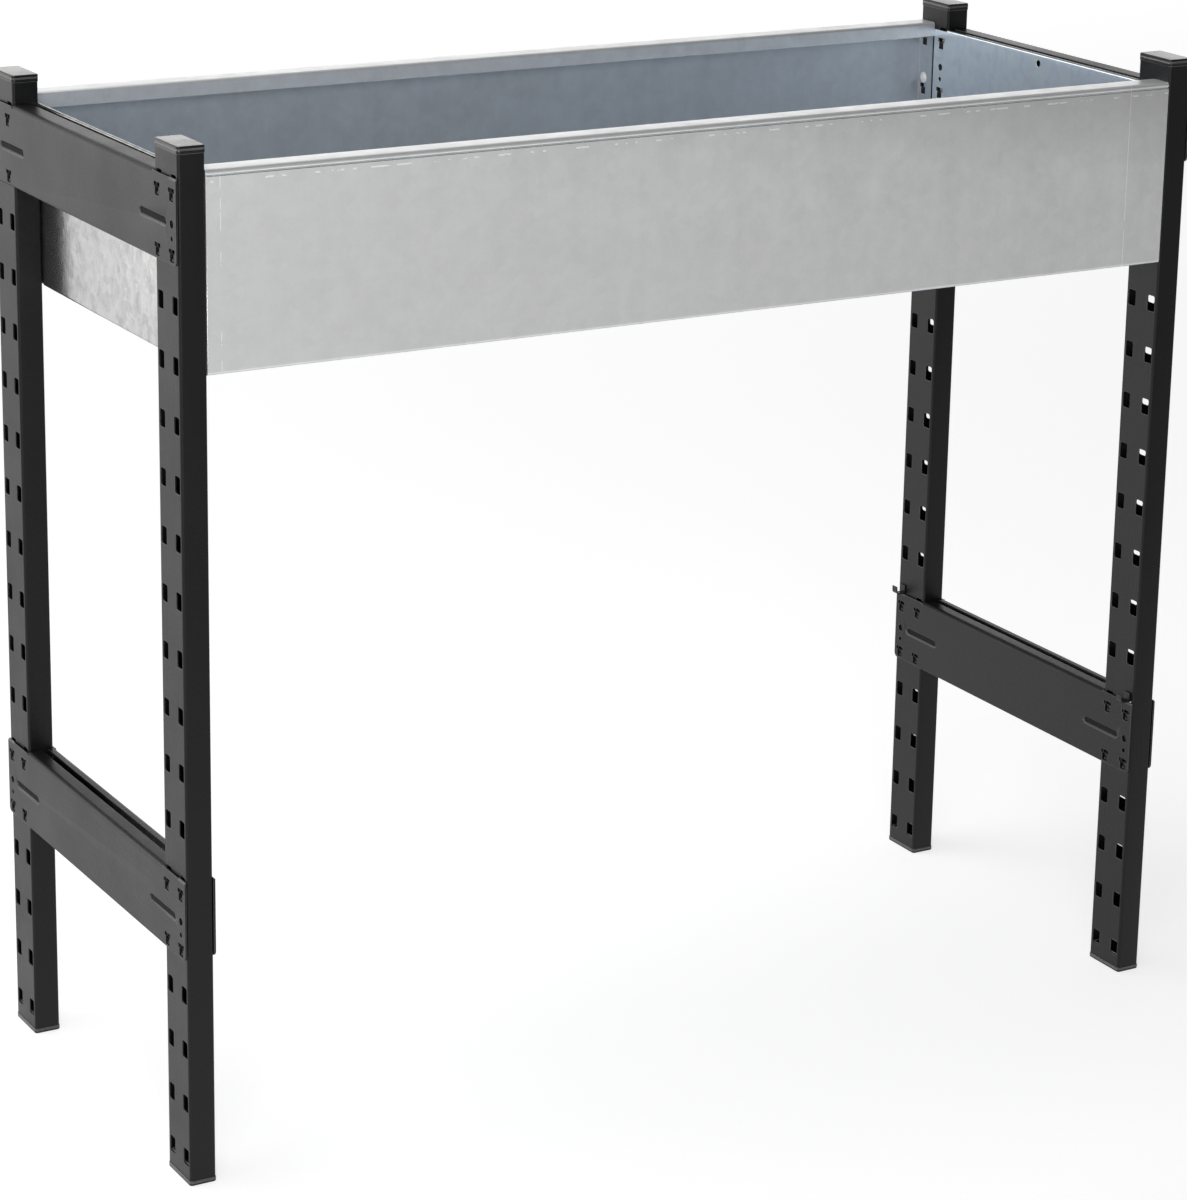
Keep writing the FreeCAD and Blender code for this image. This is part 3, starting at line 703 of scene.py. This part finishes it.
def galvanised(
    name, tone, inner_painted_tone, metal, gloss_range, lines_along, cloud_scale, cell_share, spread,
    way_out, distance, painted_lines=(),
):
    """Bright zinc coat. Its tone and gloss follow the crystals, the clouds and the rolling lines.

    Its tone is painted light and shade by side: the side that faces into the trough gets its own
    bluer tone, painted shade on the long panels and painted light on the end panels, and its
    turned-down lip is painted brighter. Faces that look up take the outer tone.
    """
    finish, tree, shader = new_finish(name, Metallic=metal)
    crystals = placed_group(tree, spangle, (-900, 100), Cell_Scale=110.0, Cloud_Scale=cloud_scale)
    rolled = placed_group(tree, draw_lines, (-900, -200), Direction_Scale=lines_along)
    side = placed_group(tree, outer_side, (-900, 400), Way_Out=way_out, Distance=distance)
    past_lip = placed_group(tree, outer_side, (-900, 600), Way_Out=way_out, Distance=LIP_INSIDE)
    mixed = shader_node(tree, "ShaderNodeMath", (-650, 150), operation="MULTIPLY_ADD")
    mixed.inputs[1].default_value = cell_share
    grained = shader_node(tree, "ShaderNodeMath", (-550, 150), operation="MULTIPLY_ADD")
    grained.inputs[1].default_value = FINE_SHARE
    streaked = shader_node(tree, "ShaderNodeMath", (-450, 150), operation="MULTIPLY_ADD")
    streaked.inputs[1].default_value = STREAK_SHARE
    tones = []
    parts = ((LIP_LIT_ZINC, INNER_SPREAD), (inner_painted_tone, INNER_SPREAD), (tone, spread))
    for colour, part_spread in parts:
        shade = shader_node(tree, "ShaderNodeMapRange", (-200, 300), data_type="FLOAT_VECTOR")
        shade.inputs[7].default_value = (PATTERN_LOW, PATTERN_LOW, PATTERN_LOW)
        shade.inputs[8].default_value = (PATTERN_HIGH, PATTERN_HIGH, PATTERN_HIGH)
        shade.inputs[9].default_value = [part * (1 - part_spread) for part in colour]
        shade.inputs[10].default_value = [part * (1 + part_spread) for part in colour]
        tree.links.new(streaked.outputs["Value"], shade.inputs[6])
        tones.append(shade)
    inside = shader_node(tree, "ShaderNodeMix", (50, 450), data_type="RGBA")
    sided = shader_node(tree, "ShaderNodeMix", (250, 300), data_type="RGBA")
    gloss = shader_node(
        tree, "ShaderNodeMapRange", (-200, 0), From_Min=PATTERN_LOW, From_Max=PATTERN_HIGH,
    )
    gloss.inputs["To Min"].default_value, gloss.inputs["To Max"].default_value = gloss_range
    relief = shader_node(tree, "ShaderNodeMath", (-450, -200), operation="MULTIPLY_ADD")
    relief.inputs[1].default_value = STREAK_RELIEF
    bump = shader_node(tree, "ShaderNodeBump", (200, -200), Strength=0.10, Distance=0.001)
    tree.links.new(crystals.outputs["Cells"], mixed.inputs[0])
    tree.links.new(crystals.outputs["Clouds"], mixed.inputs[2])
    tree.links.new(rolled.outputs["Lines"], streaked.inputs[0])
    tree.links.new(crystals.outputs["Fine"], grained.inputs[0])
    tree.links.new(mixed.outputs["Value"], grained.inputs[2])
    tree.links.new(grained.outputs["Value"], streaked.inputs[2])
    tree.links.new(past_lip.outputs["Mask"], inside.inputs[0])
    tree.links.new(tones[0].outputs[1], inside.inputs[6])
    tree.links.new(tones[1].outputs[1], inside.inputs[7])
    tree.links.new(side.outputs["Mask"], sided.inputs[0])
    tree.links.new(inside.outputs[2], sided.inputs[6])
    tree.links.new(tones[2].outputs[1], sided.inputs[7])
    colour = sided
    for way, at, half_width, break_scale, broken in painted_lines:
        line = placed_group(
            tree, painted_bright_line, (250, 600), Way=way, Place=at, Half_Width=half_width,
            Break_Scale=break_scale, Broken=broken,
        )
        lined = shader_node(tree, "ShaderNodeMix", (450, 450), data_type="RGBA")
        lined.inputs[7].default_value = PAINTED_LINE_ZINC
        tree.links.new(line.outputs["Mask"], lined.inputs[0])
        tree.links.new(colour.outputs[2], lined.inputs[6])
        colour = lined
    tree.links.new(colour.outputs[2], shader.inputs["Base Color"])
    tree.links.new(streaked.outputs["Value"], gloss.inputs["Value"])
    tree.links.new(gloss.outputs["Result"], shader.inputs["Roughness"])
    tree.links.new(rolled.outputs["Lines"], relief.inputs[0])
    tree.links.new(crystals.outputs["Height"], relief.inputs[2])
    tree.links.new(relief.outputs["Value"], bump.inputs["Height"])
    tree.links.new(bump.outputs["Normal"], shader.inputs["Normal"])
    return finish


# Lit and shaded copies of the zinc, painted by side: the long panels' inner side in shade, the end
# panels' outer faces in shade and their inner faces lit.
INNER_SHADED_ZINC = (0.515, 0.56, 0.61)
FACE_ZINC = (0.695, 0.703, 0.699)
END_SHADED_ZINC = (0.36, 0.365, 0.36)
END_INNER_LIT_ZINC = (0.84, 0.90, 0.97)
EDGE_HIGHLIGHT_ZINC = (0.90, 0.90, 0.91)
# Painted highlights on the front panel: a broken line just below the top edge and two upright lines
# near the ends.
FRONT_PAINTED_LINES = (
    ((0.0, 0.0, 1.0), 0.8752, 0.0007, 110.0, 0.56),
    ((1.0, 0.0, 0.0), -0.4712, 0.0003, 90.0, 0.50),
    ((1.0, 0.0, 0.0), 0.4405, 0.0003, 60.0, 0.42),
)
LONG_OUTSIDE = 200.5 * MILLIMETRE
END_OUTSIDE = 483.2 * MILLIMETRE
ACROSS = (0.0, 1.0, 0.0)
ALONG = (1.0, 0.0, 0.0)
front_zinc, back_zinc = (
    galvanised(
        name, FACE_ZINC, INNER_SHADED_ZINC, 0.62, (0.40, 0.30), (60.0, 60.0, 1.5), 38.0, 0.2, 0.075,
        ACROSS, LONG_OUTSIDE, painted_lines,
    )
    for name, painted_lines in (("front_panel_zinc", FRONT_PAINTED_LINES), ("back_panel_zinc", ()))
)
end_zinc = galvanised(
    "end_panel_zinc", END_SHADED_ZINC, END_INNER_LIT_ZINC, 0.97, (0.26, 0.15), (60.0, 40.0, 6.0), 95.0, 0.4,
    0.32, ALONG, END_OUTSIDE,
)
# A much lighter zinc tone paints a highlight on the rounded edges of the walls.
zinc_edge_highlight = galvanised(
    "zinc_painted_edge_highlight", EDGE_HIGHLIGHT_ZINC, EDGE_HIGHLIGHT_ZINC, 0.9, (0.30, 0.22), (40.0, 40.0, 40.0), 40.0, 0.2, 0.08,
    ALONG, 0.0,
)

WALLS = {
    "long_panel_front": front_zinc,
    "long_panel_back": back_zinc,
    "end_panel_left": end_zinc,
    "end_panel_right": end_zinc,
}
for node_name, zinc in WALLS.items():
    form = merged_form(node_name)
    low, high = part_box(node_name)
    if node_name.startswith("long"):
        # A rolled crease runs under the top fold, and the upright ends are folded round.
        outer_y = low.y if low.y < -LIP_INSIDE else high.y
        crease = high.z - CREASE_BELOW_TOP
        for shift in (-CREASE_WIDTH / 2, 0, CREASE_WIDTH / 2):
            cut = form.verts[:] + form.edges[:] + form.faces[:]
            bmesh.ops.bisect_plane(
                form, geom=cut, plane_co=(0, 0, crease + shift), plane_no=(0, 0, 1),
            )
        for vert in form.verts:
            if abs(vert.co.z - crease) < SKIN and abs(vert.co.y - outer_y) < SKIN:
                vert.co.y -= math.copysign(CREASE_DEPTH, outer_y)
        folds = []
        for edge in form.edges:
            ends = [vert.co for vert in edge.verts]
            at_corner = all(
                high.x - abs(point.x) < SKIN and abs(point.y - outer_y) < SKIN for point in ends
            )
            if at_corner and abs(ends[0].z - ends[1].z) > SHEET_FOLD:
                folds.append(edge)
        bmesh.ops.bevel(
            form, geom=folds, offset=SHEET_FOLD, segments=4, profile=0.5, affect="EDGES",
            material=-1,
        )
    wall_name = node_name.replace("panel", "wall")
    finished_piece(form, wall_name, node_name, (zinc, zinc_edge_highlight), SHEET_EDGE)

# Trough floor ---------------------------------------------------------------------------------
# Four loose sheets of the same galvanised steel lie on the folded feet of the long panels. Each
# has two pressed channels and rows of drain holes.

FLOOR_ZINC = (0.66, 0.67, 0.68)
floor_zinc = galvanised(
    "floor_zinc", FLOOR_ZINC, FLOOR_ZINC, 0.8, (0.42, 0.30), (4.0, 90.0, 90.0), 25.0, 0.15, 0.12,
    ACROSS, LONG_OUTSIDE,
)
for number in range(1, 5):
    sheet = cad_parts["floor_panel_%d" % number]
    sheet.data.materials.clear()
    sheet.data.materials.append(floor_zinc)

# Plugs ----------------------------------------------------------------------------------------
# White push-in plugs of moulded plastic pin the ends of the long panels to the posts.

white_plastic = moulded(
    "white_plastic", (0.88, 0.88, 0.87), (0.96, 0.96, 0.95), 0.35, 60.0, 0.5, 0.0,
)
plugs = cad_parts["panel_plugs"]
plugs.data.materials.clear()
plugs.data.materials.append(white_plastic)

# Locking clips --------------------------------------------------------------------------------
# Two strips of blackened spring steel, pushed into the slots above the inner beam of the right
# end. They keep its hooks from lifting out, and pull out by the curled tab.

spring_steel = powder_coat("blackened_spring_steel", 0.01, 0.3, (6.0, 300.0, 300.0))
for end_name in ("front", "back"):
    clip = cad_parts["lock_clip_" + end_name]
    clip.data.materials.clear()
    clip.data.materials.append(spring_steel)
